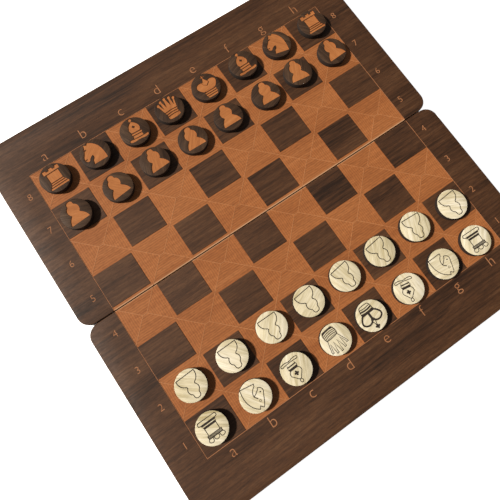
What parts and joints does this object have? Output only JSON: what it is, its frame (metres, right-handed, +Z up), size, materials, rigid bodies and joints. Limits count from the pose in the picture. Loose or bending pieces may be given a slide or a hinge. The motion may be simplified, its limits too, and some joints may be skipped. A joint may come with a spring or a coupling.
{
  "type": "chess set with board",
  "caption": "Folding wooden chess case, open and flat, whose two leaves make the board, set up with flat round magnetic men.",
  "frame": {"origin": "on the table under the fold line, at the middle of the open case", "axes": "+X from the a file to the h file, +Y from rank 1 to rank 8, +Z up from the table"},
  "size_m": [0.284, 0.2836, 0.0199],
  "materials": {
    "dark_faced_wood": "dark face, milled through to orange core wood",
    "walnut": "satin oiled",
    "sheet_steel": "plain rolled",
    "felt": "pressed felt",
    "magnet": "nickel plated",
    "rubber": "moulded matt",
    "brass": "polished",
    "maple_men": "pale wood with burnt figures",
    "dark_men": "dark face with milled orange figures"
  },
  "bodies": {
    "lower_leaf": {"lower_panel": "dark_faced_wood", "lower_steel_sheet": "sheet_steel", "lower_felt_lining": "felt", "lower_front_rail": "walnut", "lower_hinge_rail": "walnut", "lower_left_rail": "walnut", "lower_right_rail": "walnut", "lower_latch_magnets": "magnet", "lower_bumpers": "rubber", "lower_hinge_plates": "brass", "lower_hinge_screws": "brass", "hinge_pins": "brass"},
    "upper_leaf": {"upper_panel": "dark_faced_wood", "upper_steel_sheet": "sheet_steel", "upper_felt_lining": "felt", "upper_front_rail": "walnut", "upper_hinge_rail": "walnut", "upper_left_rail": "walnut", "upper_right_rail": "walnut", "upper_latch_magnets": "magnet", "upper_bumpers": "rubber", "upper_hinge_plates": "brass", "upper_hinge_screws": "brass"},
    "white_rook_a": {"white_rook_a": "maple_men"},
    "white_knight_b": {"white_knight_b": "maple_men"},
    "white_bishop_c": {"white_bishop_c": "maple_men"},
    "white_queen_d": {"white_queen_d": "maple_men"},
    "white_king_e": {"white_king_e": "maple_men"},
    "white_bishop_f": {"white_bishop_f": "maple_men"},
    "white_knight_g": {"white_knight_g": "maple_men"},
    "white_rook_h": {"white_rook_h": "maple_men"},
    "white_pawn_a": {"white_pawn_a": "maple_men"},
    "white_pawn_b": {"white_pawn_b": "maple_men"},
    "white_pawn_c": {"white_pawn_c": "maple_men"},
    "white_pawn_d": {"white_pawn_d": "maple_men"},
    "white_pawn_e": {"white_pawn_e": "maple_men"},
    "white_pawn_f": {"white_pawn_f": "maple_men"},
    "white_pawn_g": {"white_pawn_g": "maple_men"},
    "white_pawn_h": {"white_pawn_h": "maple_men"},
    "black_rook_a": {"black_rook_a": "dark_men"},
    "black_knight_b": {"black_knight_b": "dark_men"},
    "black_bishop_c": {"black_bishop_c": "dark_men"},
    "black_queen_d": {"black_queen_d": "dark_men"},
    "black_king_e": {"black_king_e": "dark_men"},
    "black_bishop_f": {"black_bishop_f": "dark_men"},
    "black_knight_g": {"black_knight_g": "dark_men"},
    "black_rook_h": {"black_rook_h": "dark_men"},
    "black_pawn_a": {"black_pawn_a": "dark_men"},
    "black_pawn_b": {"black_pawn_b": "dark_men"},
    "black_pawn_c": {"black_pawn_c": "dark_men"},
    "black_pawn_d": {"black_pawn_d": "dark_men"},
    "black_pawn_e": {"black_pawn_e": "dark_men"},
    "black_pawn_f": {"black_pawn_f": "dark_men"},
    "black_pawn_g": {"black_pawn_g": "dark_men"},
    "black_pawn_h": {"black_pawn_h": "dark_men"}
  },
  "joints": [
    {"name": "fold", "type": "hinge", "parent": "lower_leaf", "child": "upper_leaf", "pos_m": [0, 0, 0.0016], "axis": [-1, 0, 0], "range_deg": [0, 179.3]},
    {"name": "white_rook_a_lift", "type": "slide", "parent": "lower_leaf", "child": "white_rook_a", "axis": [0, 0, 1], "range_m": [0, 0.05]},
    {"name": "white_knight_b_lift", "type": "slide", "parent": "lower_leaf", "child": "white_knight_b", "axis": [0, 0, 1], "range_m": [0, 0.05]},
    {"name": "white_bishop_c_lift", "type": "slide", "parent": "lower_leaf", "child": "white_bishop_c", "axis": [0, 0, 1], "range_m": [0, 0.05]},
    {"name": "white_queen_d_lift", "type": "slide", "parent": "lower_leaf", "child": "white_queen_d", "axis": [0, 0, 1], "range_m": [0, 0.05]},
    {"name": "white_king_e_lift", "type": "slide", "parent": "lower_leaf", "child": "white_king_e", "axis": [0, 0, 1], "range_m": [0, 0.05]},
    {"name": "white_bishop_f_lift", "type": "slide", "parent": "lower_leaf", "child": "white_bishop_f", "axis": [0, 0, 1], "range_m": [0, 0.05]},
    {"name": "white_knight_g_lift", "type": "slide", "parent": "lower_leaf", "child": "white_knight_g", "axis": [0, 0, 1], "range_m": [0, 0.05]},
    {"name": "white_rook_h_lift", "type": "slide", "parent": "lower_leaf", "child": "white_rook_h", "axis": [0, 0, 1], "range_m": [0, 0.05]},
    {"name": "white_pawn_a_lift", "type": "slide", "parent": "lower_leaf", "child": "white_pawn_a", "axis": [0, 0, 1], "range_m": [0, 0.05]},
    {"name": "white_pawn_b_lift", "type": "slide", "parent": "lower_leaf", "child": "white_pawn_b", "axis": [0, 0, 1], "range_m": [0, 0.05]},
    {"name": "white_pawn_c_lift", "type": "slide", "parent": "lower_leaf", "child": "white_pawn_c", "axis": [0, 0, 1], "range_m": [0, 0.05]},
    {"name": "white_pawn_d_lift", "type": "slide", "parent": "lower_leaf", "child": "white_pawn_d", "axis": [0, 0, 1], "range_m": [0, 0.05]},
    {"name": "white_pawn_e_lift", "type": "slide", "parent": "lower_leaf", "child": "white_pawn_e", "axis": [0, 0, 1], "range_m": [0, 0.05]},
    {"name": "white_pawn_f_lift", "type": "slide", "parent": "lower_leaf", "child": "white_pawn_f", "axis": [0, 0, 1], "range_m": [0, 0.05]},
    {"name": "white_pawn_g_lift", "type": "slide", "parent": "lower_leaf", "child": "white_pawn_g", "axis": [0, 0, 1], "range_m": [0, 0.05]},
    {"name": "white_pawn_h_lift", "type": "slide", "parent": "lower_leaf", "child": "white_pawn_h", "axis": [0, 0, 1], "range_m": [0, 0.05]},
    {"name": "black_rook_a_lift", "type": "slide", "parent": "upper_leaf", "child": "black_rook_a", "axis": [0, 0, 1], "range_m": [0, 0.05]},
    {"name": "black_knight_b_lift", "type": "slide", "parent": "upper_leaf", "child": "black_knight_b", "axis": [0, 0, 1], "range_m": [0, 0.05]},
    {"name": "black_bishop_c_lift", "type": "slide", "parent": "upper_leaf", "child": "black_bishop_c", "axis": [0, 0, 1], "range_m": [0, 0.05]},
    {"name": "black_queen_d_lift", "type": "slide", "parent": "upper_leaf", "child": "black_queen_d", "axis": [0, 0, 1], "range_m": [0, 0.05]},
    {"name": "black_king_e_lift", "type": "slide", "parent": "upper_leaf", "child": "black_king_e", "axis": [0, 0, 1], "range_m": [0, 0.05]},
    {"name": "black_bishop_f_lift", "type": "slide", "parent": "upper_leaf", "child": "black_bishop_f", "axis": [0, 0, 1], "range_m": [0, 0.05]},
    {"name": "black_knight_g_lift", "type": "slide", "parent": "upper_leaf", "child": "black_knight_g", "axis": [0, 0, 1], "range_m": [0, 0.05]},
    {"name": "black_rook_h_lift", "type": "slide", "parent": "upper_leaf", "child": "black_rook_h", "axis": [0, 0, 1], "range_m": [0, 0.05]},
    {"name": "black_pawn_a_lift", "type": "slide", "parent": "upper_leaf", "child": "black_pawn_a", "axis": [0, 0, 1], "range_m": [0, 0.05]},
    {"name": "black_pawn_b_lift", "type": "slide", "parent": "upper_leaf", "child": "black_pawn_b", "axis": [0, 0, 1], "range_m": [0, 0.05]},
    {"name": "black_pawn_c_lift", "type": "slide", "parent": "upper_leaf", "child": "black_pawn_c", "axis": [0, 0, 1], "range_m": [0, 0.05]},
    {"name": "black_pawn_d_lift", "type": "slide", "parent": "upper_leaf", "child": "black_pawn_d", "axis": [0, 0, 1], "range_m": [0, 0.05]},
    {"name": "black_pawn_e_lift", "type": "slide", "parent": "upper_leaf", "child": "black_pawn_e", "axis": [0, 0, 1], "range_m": [0, 0.05]},
    {"name": "black_pawn_f_lift", "type": "slide", "parent": "upper_leaf", "child": "black_pawn_f", "axis": [0, 0, 1], "range_m": [0, 0.05]},
    {"name": "black_pawn_g_lift", "type": "slide", "parent": "upper_leaf", "child": "black_pawn_g", "axis": [0, 0, 1], "range_m": [0, 0.05]},
    {"name": "black_pawn_h_lift", "type": "slide", "parent": "upper_leaf", "child": "black_pawn_h", "axis": [0, 0, 1], "range_m": [0, 0.05]}
  ]
}
